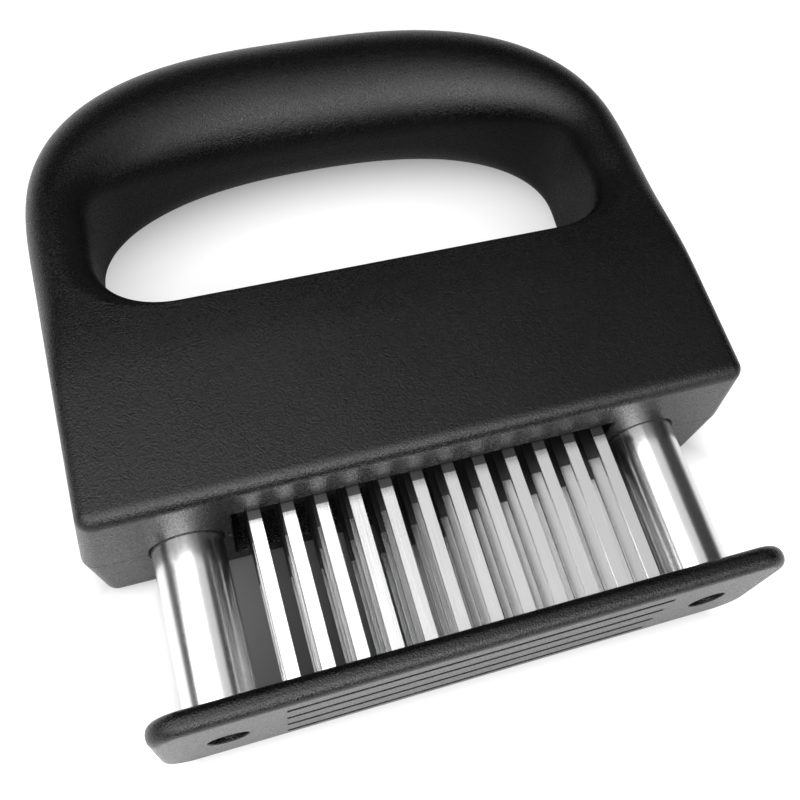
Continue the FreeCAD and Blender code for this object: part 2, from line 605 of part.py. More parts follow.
def stop_collar(sign):
    """Flanged sleeve in the tube's top; its flange rests on the housing's ledge."""
    x = sign * TUBE_X
    flange = rod_y(COLLAR_OD / 2, x, TUBE_TOP_Y, TUBE_TOP_Y + COLLAR_FLANGE)
    sleeve = rod_y(TUBE_BORE / 2 - PRESS_GAP, x, TUBE_TOP_Y - COLLAR_SLEEVE_LENGTH, TUBE_TOP_Y)
    bore = rod_y(COLLAR_BORE / 2, x, TUBE_TOP_Y - COLLAR_SLEEVE_LENGTH, TUBE_TOP_Y + COLLAR_FLANGE)
    return flange.fuse(sleeve).cut(bore).removeSplitter()


def tube_plug(sign):
    """Plug in the tube's foot, which takes the plate screw and carries the spring."""
    x = sign * TUBE_X
    plug = rod_y(TUBE_BORE / 2 - PRESS_GAP, x, TUBE_BASE_Y, PLUG_TOP_Y)
    pilot_top = PLATE_SCREW_RECESS_DEPTH + PLATE_SCREW_LENGTH + PILOT_CLEARANCE
    return plug.cut(rod_y(PLATE_SCREW_DIAMETER / 2 + PRESS_GAP, x, TUBE_BASE_Y, pilot_top))


# ---- Return springs and their guides ------------------------------------------------------------------
def spring_top_y():
    return ROOF_Y - SPRING_GUIDE_FLANGE


def return_spring(sign):
    """Round wire wound on a helix between the plug and the guide's flange."""
    radius = (SPRING_OD - SPRING_WIRE) / 2
    height = spring_top_y() - PLUG_TOP_Y - SPRING_WIRE
    helix = Part.makeHelix(height / SPRING_TURNS, height, radius)
    section = Part.Wire(Part.makeCircle(SPRING_WIRE / 2, Vector(radius, 0, 0), Vector(0, 1, 0)))
    spring = Part.Wire(helix).makePipeShell([section], True, True)
    spring.rotate(Vector(0, 0, 0), Vector(1, 0, 0), -90)
    spring.translate(Vector(sign * TUBE_X, PLUG_TOP_Y + SPRING_WIRE / 2, 0))
    return spring


def spring_guide(sign):
    """Rod inside the spring; its flange bears on the chamber roof and its spigot enters it."""
    x = sign * TUBE_X
    flange_y = spring_top_y()
    rod = rod_y(SPRING_GUIDE_DIAMETER / 2, x, flange_y - SPRING_GUIDE_LENGTH, flange_y)
    flange = rod_y(SPRING_GUIDE_FLANGE_DIAMETER / 2, x, flange_y, ROOF_Y)
    spigot = rod_y(SPRING_GUIDE_SPIGOT_DIAMETER / 2, x, ROOF_Y, ROOF_Y + SPRING_GUIDE_SPIGOT)
    return fuse_all([rod, flange, spigot])


# ---- Assembly --------------------------------------------------------------------------------------------
def build():
    """Every piece in the working frame, by node name."""
    pieces = {
        "front_shell": housing_shell(1),
        "back_cover": housing_shell(-1),
        "housing_screws": housing_screws(),
        "comb_pins": comb_pins(),
        "guard_plate": guard_plate(),
        "plate_screws": plate_screws(),
    }
    for i, z in enumerate(ROW_Z):
        pieces[f"blade_comb_{i + 1}"] = blade_comb(z)
    for i, (front, back) in enumerate(zip(ROW_Z, ROW_Z[1:])):
        pieces[f"comb_spacer_{i + 1}"] = comb_spacer((front + back) / 2)
    for name, sign in SIDES.items():
        pieces[f"guide_tube_{name}"] = guide_tube(sign)
        pieces[f"stop_collar_{name}"] = stop_collar(sign)
        pieces[f"tube_plug_{name}"] = tube_plug(sign)
        pieces[f"return_spring_{name}"] = return_spring(sign)
        pieces[f"spring_guide_{name}"] = spring_guide(sign)
    return pieces


def export(pieces):
    """Move the pieces to the tool's own origin and write one STEP file per node."""
    os.makedirs("parts", exist_ok=True)
    move = Vector(0, -TOP_Y / 2, BACK_DEPTH)
    for name, shape in pieces.items():
        placed = shape.copy()
        placed.translate(move)
        placed.exportStep(f"parts/{name}.step")


export(build())
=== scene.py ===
"""Blade meat tenderizer dressed for a studio view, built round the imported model.

The tool lies on its back on a pale table. The housing's halves, the guard plate, the
tubes, the blade combs and the springs are surfaces worked out with numpy from the
frame's own sizes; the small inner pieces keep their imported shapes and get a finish.
"""
import math

import bpy
import numpy as np
from mathutils import Matrix, Vector


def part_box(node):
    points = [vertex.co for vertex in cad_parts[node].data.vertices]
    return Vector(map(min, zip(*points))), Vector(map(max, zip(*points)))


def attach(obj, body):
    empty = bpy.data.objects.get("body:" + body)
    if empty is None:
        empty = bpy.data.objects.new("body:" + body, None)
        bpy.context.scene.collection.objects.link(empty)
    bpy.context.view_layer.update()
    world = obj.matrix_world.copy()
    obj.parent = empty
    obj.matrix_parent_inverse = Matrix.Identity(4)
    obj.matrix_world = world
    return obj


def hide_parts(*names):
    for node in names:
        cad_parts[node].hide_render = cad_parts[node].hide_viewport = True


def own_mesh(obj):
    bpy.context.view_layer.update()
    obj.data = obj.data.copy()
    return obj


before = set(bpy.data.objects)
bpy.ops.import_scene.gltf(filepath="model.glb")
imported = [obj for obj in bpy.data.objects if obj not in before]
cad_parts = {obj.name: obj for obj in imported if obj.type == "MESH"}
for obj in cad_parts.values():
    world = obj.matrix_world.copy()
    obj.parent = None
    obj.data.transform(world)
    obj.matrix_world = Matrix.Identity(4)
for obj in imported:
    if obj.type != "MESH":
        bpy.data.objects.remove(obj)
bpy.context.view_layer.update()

MM = 0.001
QUARTER = math.pi / 2
OVERCUT = 1.0 * MM                  # how far a cutter reaches out of its piece

# ---- Places read from the frame ------------------------------------------------------------
shell_low, shell_high = (np.array(corner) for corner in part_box("front_shell"))
cover_low, _ = (np.array(corner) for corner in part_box("back_cover"))
plate_low, plate_high = (np.array(corner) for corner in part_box("guard_plate"))
PARTING_Z = shell_low[2]
FRONT_DEPTH = shell_high[2] - PARTING_Z
BACK_DEPTH = PARTING_Z - cover_low[2]
UNDERSIDE_Y = shell_low[1]
TOP_Y = shell_high[1]

# ---- Housing and grip ----------------------------------------------------------------------
HALF_WIDTH = 78.0 * MM
SIDE_DRAFT = math.tan(math.radians(6.4))
EDGE_RADIUS = 3.3 * MM
LEAST_CORNER = 0.02 * MM            # what is left of the block's lower corners at the face
FLOOR_HEIGHT = 48.2 * MM            # underside to the floor of the finger opening
OPENING_HALF_WIDTH = 62.3 * MM
OPENING_CORNER = 17.0 * MM
OPENING_EDGE = 0.9 * MM             # lip radius along the opening's floor
CORNER_EDGE = 8.0 * MM              # lip radius where the opening's corners meet the arms
SWELL_BELOW_FLOOR = 24.0 * MM       # where the outer edges start to swell
SWELL_EASING = 50.0 * MM            # the swell starts gently over this way
LIP_EASING = 16.0 * MM              # the same for the edges inside the grip
FALL_BELOW_FLOOR = 14.0 * MM        # where the faces start to fall towards the grip
OUTER_ARCH = (18.4 * MM, 2.67)      # the arch's start over the opening's floor, its power
INNER_ARCH = (27.3 * MM, 2.455)
INNER_ARCH_TOP = 50.8 * MM
GRIP_FRONT_DEPTH = 18.7 * MM
GRIP_BACK_DEPTH = 15.7 * MM
GRIP_ROUNDNESS = 0.96               # largest outer radius as a share of half the section
INNER_ROUNDNESS = 0.97              # inner radius as a share of what the outer one leaves
DEPTH_POWER = 0.7
OUTER_ROUND_POWER = 0.42
INNER_ROUND_POWER = 0.5
SEAM_DEPTH = 0.14 * MM              # half of the fine groove between the two shells
FLOOR_Y = UNDERSIDE_Y + FLOOR_HEIGHT
ARM_BASE_Y = FLOOR_Y + OPENING_CORNER
ARM_HALF_WIDTH = (HALF_WIDTH - OPENING_HALF_WIDTH) / 2
SWELL_BELOW_ARM = OPENING_CORNER + SWELL_BELOW_FLOOR
FALL_BELOW_ARM = OPENING_CORNER + FALL_BELOW_FLOOR

# ---- Bores, pocket and wells of the housing ------------------------------------------------
TUBE_PLACES = {side: (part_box(f"guide_tube_{side}")[0][0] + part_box(f"guide_tube_{side}")[1][0]) / 2
               for side in ("left", "right")}
TUBE_RADIUS = 8.0 * MM
TUBE_WALL = 1.0 * MM
TUBE_BEVEL = 0.15 * MM
GUIDE_RADIUS = TUBE_RADIUS + 0.3 * MM
GUIDE_LENGTH = 9.5 * MM
CHAMBER_RADIUS = 10.0 * MM
CHAMBER_LENGTH = 36.4 * MM
LEDGE_STEP = 0.01 * MM              # rise of the ledge between guide bore and chamber
MOUTH_CHAMFER = 0.4 * MM
POCKET_HALF_LENGTH = 45.0 * MM
POCKET_HALF_DEPTH = 12.9 * MM
POCKET_CORNER = 0.5 * MM
PACK_TOP_RISE = 32.0 * MM           # underside to the top of the comb pack
SCREW_WELL_RADIUS = 3.1 * MM
SCREW_SEAT = 12.0 * MM              # parting plane to the seat of a screw head
SCREW_INSET, SCREW_RISE = 7.0 * MM, 9.0 * MM
MIDDLE_SCREW_X, MIDDLE_SCREW_DROP = 31.5 * MM, 7.7 * MM
GRIP_SCREW_ANGLE = math.radians(132)   # place over the arch of a screw in the grip

# ---- Guard plate, combs and springs --------------------------------------------------------
PLATE_CORNER, PLATE_EDGE = 7.5 * MM, 2.3 * MM
SLOT_HALF_LENGTH, SLOT_HALF_WIDTH = 42.96 * MM, 0.9 * MM
SLOT_CORNER, SLOT_CHAMFER = 0.2 * MM, 0.15 * MM
RECESS_RADIUS, RECESS_DEPTH, RECESS_CHAMFER = 4.4 * MM, 2.6 * MM, 0.2 * MM
SOCKET_RADIUS, SOCKET_DEPTH = TUBE_RADIUS + 0.02 * MM, 1.6 * MM
COMBS = [f"blade_comb_{row}" for row in range(1, 5)]
BLADES_PER_ROW, BLADE_PITCH, BLADE_WIDTH = 12, 7.32 * MM, 3.0 * MM
BLADE_CORNERS = 6                   # outline corners of one blade
TIP_LENGTH, TIP_FLAT = 4.8 * MM, 0.5 * MM
TIP_THICKNESS = 0.2                 # share of the sheet's thickness left at the cutting edge
SPINE_HEIGHT = 24.0 * MM
BLADE_BEVEL = 0.12 * MM
FRONT_ROW_Z = max(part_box(comb)[1][2] for comb in COMBS)
PAINTED_SHADE_LENGTH, PAINTED_SHADE_SLOPE = 2.2 * MM, 0.3   # painted shade on the top of the front row, longer for rows behind
PAINTED_SHADE_EDGE = 0.1 * MM                # half of the way over which the painted shade gives way to the shine
SPRING_RADIUS, WIRE_RADIUS, SPRING_TURNS = 5.3 * MM, 0.5 * MM, 11

# ---- Fineness of the surfaces --------------------------------------------------------------
# Rows over a shell's profile and columns round its outline
WALL_ROWS, ROUND_ROWS, FACE_ROWS, INNER_ROUND_ROWS, INNER_WALL_ROWS = 7, 16, 20, 14, 5
GRIP_COLUMNS, SIDE_COLUMNS, CORNER_COLUMNS, BOTTOM_COLUMNS = 300, 20, 12, 14
ARCH_SAMPLES = 4001
WELL_SIDES, HOLE_SIDES, BORE_SIDES, TUBE_SIDES = 48, 96, 128, 192
PLATE_EDGE_ROWS, PLATE_CORNER_POINTS, SLOT_CORNER_POINTS, POCKET_CORNER_POINTS = 12, 16, 4, 12
SPRING_TURN_ROWS, WIRE_SIDES = 28, 10
CREASE, TUBE_CREASE, BLADE_CREASE, WIRE_CREASE = 35.0, 30.0, 25.0, 60.0   # degrees

# ---- Table, room and lamps -----------------------------------------------------------------
TABLE_REACH, TABLE_DROP = 4.0, 0.02 * MM
TABLE_GLOW = 0.55
OPENING_GLOW = 1.5                  # glow in the finger opening over the glow around the tool
GLOSSY_GLOW = 0.4                   # share of the glow around the tool that reflections show
SHADOW_EDGE = (-8.0 * MM, 6.0 * MM)   # the glow grows and the painted shade under the tool fades over this strip round the outline
# Oval pool of glow under the finger opening: its middle, its radii and its soft share
POOL_Y, POOL_RADII, POOL_EDGE = 30.0 * MM, (100.0 * MM, 42.0 * MM), 0.8
ROOM_LEVEL, HORIZON_LEVEL, HORIZON_BAND = 0.05, 0.24, (0.02, 0.16)
LAMPS = [   # name, centre, aim, width, depth, radiance
    ("main_softbox", (-0.47, -0.32, 0.46), (-0.47, -0.32, 0.0), 0.96, 0.93, 2.75),
    ("side_softbox", (0.15, -0.295, 0.46), (0.15, -0.295, 0.0), 0.28, 0.93, 0.7),
    ("grip_key", (0.02, -0.43, 0.41), (0.0, 0.06, 0.03), 0.34, 0.36, 3.9),
    ("grip_end_key", (0.30, -0.40, 0.25), (-0.04, 0.055, 0.036), 0.18, 0.22, 2.9),
]


# ---- Mesh helpers --------------------------------------------------------------------------
def smooth_with_creases(mesh, sharp_degrees):
    """Smooth shading, sharp where two faces meet at more than an angle."""
    mesh.polygons.foreach_set("use_smooth", np.ones(len(mesh.polygons), dtype=bool))
    mesh.set_sharp_from_angle(angle=math.radians(sharp_degrees))


def make_object(name, points, faces, sharp_degrees=CREASE):
    """Object at the origin from an (n, 3) array and lists of faces, smooth with creases."""
    mesh = bpy.data.meshes.new(name)
    mesh.from_pydata(points.tolist(), [], faces)
    mesh.validate()
    smooth_with_creases(mesh, sharp_degrees)
    thing = bpy.data.objects.new(name, mesh)
    bpy.context.scene.collection.objects.link(thing)
    return thing


def grid_faces(rows, columns, wrap_rows=False):
    """Quads between neighbouring points of a grid numbered row by row, closed along each row."""
    i = np.arange(rows if wrap_rows else rows - 1)[:, None]
    j = np.arange(columns)[None, :]
    next_i, next_j = (i + 1) % rows, (j + 1) % columns
    corners = [i * columns + j, i * columns + next_j,
               next_i * columns + next_j, next_i * columns + j]
    return np.stack(np.broadcast_arrays(*corners), axis=-1).reshape(-1, 4).tolist()


def signed_volume(points, faces):
    """Six times the volume between quads and the origin, negative if they face inwards: the
    sum over both triangles of each quad of one corner dotted with the others' cross product."""
    a, b, c, d = (points[corner] for corner in np.array(faces).T)
    return np.sum(a * np.cross(b, c)) + np.sum(a * np.cross(c, d))


def outward(points, faces):
    """The same quads, turned over if they enclose a negative volume."""
    return faces if signed_volume(points, faces) > 0 else [face[::-1] for face in faces]


def stacked_rings(rings):
    """Points and faces of a solid made of equal rings, each an (n, 3) array, with flat ends."""
    rows, columns = len(rings), len(rings[0])
    points = np.concatenate(rings)
    sides = grid_faces(rows, columns)
    faces = outward(points - points.mean(axis=0), sides)
    first, last = list(range(columns)), list(range((rows - 1) * columns, rows * columns))
    ends = [first[::-1], last] if faces[0] == sides[0] else [first, last[::-1]]
    return points, faces + ends


def ring_y(outline, y):
    """A plan outline of (x, z) pairs set at one height y."""
    return np.column_stack([outline[:, 0], np.full(len(outline), y), outline[:, 1]])


def stack_along_y(name, outline, levels):
    """Cutter or solid along Y: outline(growth) is a plan outline, levels are (y, growth)."""
    return make_object(name, *stacked_rings([ring_y(outline(growth), y) for y, growth in levels]))


def circle(radius, centre_x, centre_z, count=BORE_SIDES):
    """Circle: centre plus radius times the cosine and sine of evenly spaced angles."""
    turn = np.linspace(0, 2 * math.pi, count, endpoint=False)
    return np.column_stack([centre_x + radius * np.cos(turn), centre_z + radius * np.sin(turn)])


def rounded_rectangle(half_x, half_z, radius, centre, per_corner):
    """Rectangle with quarter circles at its corners: corner centres plus radius at an angle."""
    quarter = np.linspace(0, QUARTER, per_corner)
    turn = (quarter[None, :] + np.arange(4)[:, None] * QUARTER).ravel()
    sign_x = np.repeat([1, -1, -1, 1], per_corner)
    sign_z = np.repeat([1, 1, -1, -1], per_corner)
    x = centre[0] + sign_x * (half_x - radius) + radius * np.cos(turn)
    z = centre[1] + sign_z * (half_z - radius) + radius * np.sin(turn)
    return np.column_stack([x, z])


def carve(thing, cutters):
    """Subtracts the cutters from a piece, bakes the result into its mesh and removes them."""
    for cutter in cutters:
        cut = thing.modifiers.new(cutter.name, "BOOLEAN")
        cut.object = cutter
        cut.operation = "DIFFERENCE"
        cut.solver = "MANIFOLD"
    bpy.context.view_layer.update()
    carved = thing.evaluated_get(bpy.context.evaluated_depsgraph_get())
    result = bpy.data.meshes.new_from_object(carved)
    thing.modifiers.clear()
    thing.data = result
    for cutter in cutters:
        bpy.data.objects.remove(cutter)


def even_normals(thing, sharp_degrees=CREASE):
    """Keeps flat faces flat in shading beside their rounded edges."""
    smooth_with_creases(thing.data, sharp_degrees)
    weights = thing.modifiers.new("even_normals", "WEIGHTED_NORMAL")
    weights.keep_sharp = True


# ---- Housing halves ------------------------------------------------------------------------
def arch(angle, half_width, start_and_power, top):
    """Superellipse arch on straight arms: x is the half width times the cosine to the power
    2/p, y rises from the start to the top with the sine to the same power."""
    start, power = start_and_power
    cosine, sine = np.cos(angle), np.abs(np.sin(angle))
    x = half_width * np.sign(cosine) * np.abs(cosine) ** (2 / power)
    y = FLOOR_Y + start + (top - start) * sine ** (2 / power)
    return np.column_stack([x, y])


def grip_edges(angle):
    """Outer and inner edge of the grip at angles over the arch."""
    return (arch(angle, HALF_WIDTH, OUTER_ARCH, TOP_Y - FLOOR_Y),
            arch(angle, OPENING_HALF_WIDTH, INNER_ARCH, INNER_ARCH_TOP))


def way_along(line):
    """Length of a line of points from its start to each point."""
    return np.concatenate([[0], np.cumsum(np.linalg.norm(np.diff(line, axis=0), axis=1))])


def even_rail(edge):
    """Points evenly spaced along one edge of the grip, from arm base to arm base."""
    line = np.vstack([[edge[0, 0], ARM_BASE_Y], edge, [edge[-1, 0], ARM_BASE_Y]])
    length = way_along(line)
    places = np.linspace(0, length[-1], GRIP_COLUMNS)
    return np.column_stack([np.interp(places, length, line[:, k]) for k in range(2)])


def grip_rails():
    """Outer and inner points of the sections, from the right arm's base over the arch to the
    left arm's base, each section's way from the nearer base and half the path."""
    outer, inner = (even_rail(edge) for edge in grip_edges(np.linspace(0, math.pi, ARCH_SAMPLES)))
    path = way_along((outer + inner) / 2)
    return outer, inner, np.minimum(path, path[-1] - path), path[-1] / 2


def profile_rows():
    """Wall height share, outer angle, face share and inner angle of each row, as columns: up
    the wall, round the outer edge, over the face, round the inner edge, down the inner wall."""
    seam = SEAM_DEPTH / FRONT_DEPTH
    wall = np.concatenate([[0, seam], np.linspace(seam, 1, WALL_ROWS)[1:-1]])
    outer_angle = np.linspace(0, QUARTER, ROUND_ROWS)
    face = np.linspace(0, 1, FACE_ROWS + 2)[1:-1]
    inner_angle = np.linspace(0, QUARTER, INNER_ROUND_ROWS)
    inner_wall = np.linspace(1, 0, INNER_WALL_ROWS)[1:]
    stretches = [np.broadcast_arrays(*stretch) for stretch in (
        (wall, 0, 0, 0),
        (1, outer_angle, 0, 0),
        (1, QUARTER, face, 0),
        (1, QUARTER, 1, inner_angle),
        (inner_wall, QUARTER, 1, QUARTER),
    )]
    return [np.concatenate(column)[:, None] for column in zip(*stretches)]


def outer_profile(half, depth, radius, slope, wall, angle):
    """Distance from the section's middle and height: up the drafted wall, then round a circle
    of the edge radius that touches both the wall and the face."""
    tilt = np.arctan(slope)
    centre = half - slope * (depth - radius) - radius / np.cos(tilt)
    height = wall * (depth - radius) + radius * np.sin(angle)
    across = np.where(angle < tilt, half - slope * height, centre + radius * np.cos(angle))
    return across, height


def section_points(outer, inner, across, height):
    """Points of the grip's sections: the middle of each rail pair plus across along the pair."""
    middle = (outer + inner) / 2
    span = outer - inner
    direction = span / np.linalg.norm(span, axis=1, keepdims=True)
    x = middle[None, :, 0] + direction[None, :, 0] * across
    y = middle[None, :, 1] + direction[None, :, 1] * across
    return np.stack([x, y, height], axis=-1)


def smooth_step(t):
    """3 t squared minus 2 t cubed, with t held between 0 and 1."""
    t = np.clip(t, 0, 1)
    return t * t * (3 - 2 * t)


def soft_limit(radius, limit):
    """Nearly the smaller of two sizes, without a crease where they cross: their product over
    the eighth root of the sum of their eighth powers."""
    return radius * limit / (radius ** 8 + limit ** 8) ** 0.125


def edge_radius(path, half_path, bar_depth):
    """Outer edge radius at a way above the start of the swell: from the block's radius to the
    bar's depth with a power of the smooth step of the way to the crown, eased in."""
    share = smooth_step(path / half_path) ** OUTER_ROUND_POWER
    return EDGE_RADIUS + (bar_depth - EDGE_RADIUS) * share * smooth_step(path / SWELL_EASING)


def body_depth(path, half_path, arm_depth, bar_depth):
    """Depth at a way above the start of the fall: from the block's depth to the bar's depth
    with a power of the smooth step of the way to the crown."""
    return arm_depth + (bar_depth - arm_depth) * smooth_step(path / half_path) ** DEPTH_POWER


def grip_part(arm_depth, bar_depth):
    """Grip half: each section has the drafted wall, an outer round, the face, an inner round
    and the inner wall; depth and radii grow with a smooth step of the way along the grip."""
    outer, inner, path, half_path = grip_rails()
    depth = body_depth(path + FALL_BELOW_ARM, half_path + FALL_BELOW_ARM, arm_depth, bar_depth)
    half = np.linalg.norm(outer - inner, axis=1) / 2
    swell = edge_radius(path + SWELL_BELOW_ARM, half_path + SWELL_BELOW_ARM, bar_depth)
    outer_radius = soft_limit(swell, GRIP_ROUNDNESS * np.minimum(half, depth))
    share = smooth_step(path / half_path)
    growth = share ** INNER_ROUND_POWER * smooth_step(path / LIP_EASING)
    inner_radius = soft_limit(CORNER_EDGE + (bar_depth - CORNER_EDGE) * growth,
                              INNER_ROUNDNESS * np.minimum(2 * half - outer_radius, depth))
    wall, angle, face, inner_angle = profile_rows()
    across, height = outer_profile(half, depth, outer_radius, SIDE_DRAFT * (1 - share), wall, angle)
    inner_across = -half + inner_radius * (1 - np.sin(inner_angle))
    inner_height = (depth - inner_radius * (1 - np.cos(inner_angle))) * wall
    across = np.where(face > 0, across + (inner_across - across) * face, across)
    height = np.where(face >= 1, inner_height, height)
    return section_points(outer, inner, across, height)


def block_part(arm_depth, bar_depth):
    """Right half of the block: columns run down the side, round the corner and along the
    underside, each joined over the face to a column of the opening's corner and floor, whose
    lip radius shrinks with a smooth step from the arm to the floor. The face falls towards
    the grip as its height y rises."""
    half_path = grip_rails()[3]

    def depth_at(level):
        return body_depth(level - ARM_BASE_Y + FALL_BELOW_ARM, half_path + FALL_BELOW_ARM,
                          arm_depth, bar_depth)

    def radius_at(level):
        swell = edge_radius(level - ARM_BASE_Y + SWELL_BELOW_ARM, half_path + SWELL_BELOW_ARM,
                            bar_depth)
        return soft_limit(swell, GRIP_ROUNDNESS * ARM_HALF_WIDTH)

    wall, angle, face, inner_angle = profile_rows()
    down = np.linspace(0, 1, SIDE_COLUMNS)[None, 1:]
    turn = np.linspace(0, QUARTER, CORNER_COLUMNS)[None, 1:]
    across = np.linspace(0, 1, BOTTOM_COLUMNS)[None, 1:]
    way = np.hstack([down, np.ones_like(turn), np.ones_like(across)])

    under_y = UNDERSIDE_Y + EDGE_RADIUS * (1 - np.cos(angle))
    corner = np.maximum(EDGE_RADIUS * np.cos(angle), LEAST_CORNER)
    level = ARM_BASE_Y + (UNDERSIDE_Y + EDGE_RADIUS - ARM_BASE_Y) * down
    upper_x, height = outer_profile(HALF_WIDTH, depth_at(level), radius_at(level), SIDE_DRAFT,
                                    wall, angle)
    side_x = upper_x[:, -1:]
    outer_x = np.hstack([upper_x, side_x - corner * (1 - np.cos(turn)),
                         (side_x - corner) * (1 - across)])
    outer_y = np.hstack([ARM_BASE_Y + (under_y + corner - ARM_BASE_Y) * down,
                         under_y + corner * (1 - np.sin(turn)),
                         np.repeat(under_y, across.size, axis=1)])
    outer_z = np.hstack([height, np.repeat(height[:, -1:], turn.size + across.size, axis=1)])

    base_lip = soft_limit(CORNER_EDGE,
                          INNER_ROUNDNESS * (2 * ARM_HALF_WIDTH - radius_at(ARM_BASE_Y)))
    lip = base_lip + (OPENING_EDGE - base_lip) * smooth_step(way)
    radius = OPENING_CORNER + lip * (1 - np.sin(inner_angle))
    centre_x = OPENING_HALF_WIDTH - OPENING_CORNER
    floor_x = np.hstack([np.full_like(down, centre_x), centre_x - EDGE_RADIUS * turn / QUARTER,
                         (centre_x - EDGE_RADIUS) * (1 - across)])
    inner_x = floor_x + radius * np.cos(way * QUARTER)
    inner_y = ARM_BASE_Y - radius * np.sin(way * QUARTER)
    inner_z = (depth_at(inner_y) - lip * (1 - np.cos(inner_angle))) * wall

    x = outer_x + (inner_x - outer_x) * face
    y = outer_y + (inner_y - outer_y) * face
    z = np.where(face >= 1, inner_z, np.where(face > 0, depth_at(y), outer_z))
    return np.stack([x, y, z], axis=-1)


def seam_inset(points):
    """Inward step of the lowest row, square to the outline, that opens the seam's groove."""
    outline = points[1, :, :2]
    along = np.roll(outline, -1, axis=0) - np.roll(outline, 1, axis=0)
    normal = np.column_stack([along[:, 1], -along[:, 0]])
    normal /= np.linalg.norm(normal, axis=1, keepdims=True)
    centre = np.array([0, (UNDERSIDE_Y + TOP_Y) / 2])
    normal *= np.sign(np.sum(normal * (outline - centre), axis=1))[:, None]
    return normal * SEAM_DEPTH


def half_shell(name, side):
    """Closed half of the housing: the grip's sections and the block's columns as one loop."""
    depths = (FRONT_DEPTH, GRIP_FRONT_DEPTH) if side > 0 else (BACK_DEPTH, GRIP_BACK_DEPTH)
    grip = grip_part(*depths)[:, ::-1]
    right = block_part(*depths)
    left = right[:, ::-1][:, 1:] * [-1, 1, 1]
    points = np.concatenate([grip, right, left], axis=1)
    rows, columns = points.shape[:2]
    points[0, :, :2] -= seam_inset(points)
    points[..., 2] = PARTING_Z + side * points[..., 2]
    flat = points.reshape(-1, 3)
    faces = outward(flat - flat.mean(axis=0), grid_faces(rows, columns, wrap_rows=True))
    return make_object(name, flat, faces)


def screw_places():
    """X and Y of the six screws: two low at the sides, two under the opening, two in the grip."""
    outer, inner = (edge[0] for edge in grip_edges(np.array([GRIP_SCREW_ANGLE])))
    grip_x, grip_y = (outer + inner) / 2
    right = [(HALF_WIDTH - SCREW_INSET, UNDERSIDE_Y + SCREW_RISE),
             (MIDDLE_SCREW_X, FLOOR_Y - MIDDLE_SCREW_DROP), (abs(grip_x), grip_y)]
    return right + [(-x, y) for x, y in right]


def housing_cutters(side):
    """The hollows that show or that a moving piece needs: the pocket with the comb pack, the
    tube bores with their chambers and, in the back cover, the wells of its screws."""
    low, lip = UNDERSIDE_Y - OVERCUT, UNDERSIDE_Y + MOUTH_CHAMFER
    flare = MOUTH_CHAMFER + OVERCUT
    ledge = UNDERSIDE_Y + GUIDE_LENGTH

    def pocket(growth):
        return rounded_rectangle(POCKET_HALF_LENGTH + growth, POCKET_HALF_DEPTH + growth,
                                 POCKET_CORNER + growth, (0, PARTING_Z),
                                 POCKET_CORNER_POINTS)

    levels = [(low, flare), (lip, 0), (UNDERSIDE_Y + PACK_TOP_RISE, 0)]
    cutters = [stack_along_y("pocket_cutter", pocket, levels)]
    for name, x in TUBE_PLACES.items():
        def bore(radius, x=x):
            return circle(radius, x, PARTING_Z)

        cutters.append(stack_along_y(f"bore_cutter_{name}", bore, [
            (low, GUIDE_RADIUS + flare), (lip, GUIDE_RADIUS), (ledge, GUIDE_RADIUS),
            (ledge + LEDGE_STEP, CHAMBER_RADIUS), (ledge + CHAMBER_LENGTH, CHAMBER_RADIUS)]))
    if side < 0:
        for number, (x, y) in enumerate(screw_places()):
            mouth = circle(SCREW_WELL_RADIUS, x, y, WELL_SIDES)
            rings = [np.column_stack([mouth, np.full(WELL_SIDES, z)])
                     for z in (PARTING_Z - SCREW_SEAT, PARTING_Z - BACK_DEPTH - OVERCUT)]
            cutters.append(make_object(f"well_cutter_{number}", *stacked_rings(rings)))
    return cutters


def housing_half(name, side, node):
    """One moulded half, with its hollows cut: side is 1 for the front and -1 for the back."""
    shell = half_shell(name, side)
    carve(shell, housing_cutters(side))
    even_normals(shell)
    dress(shell, "housing", SHELL_FINISH, "housing_plastic", node)


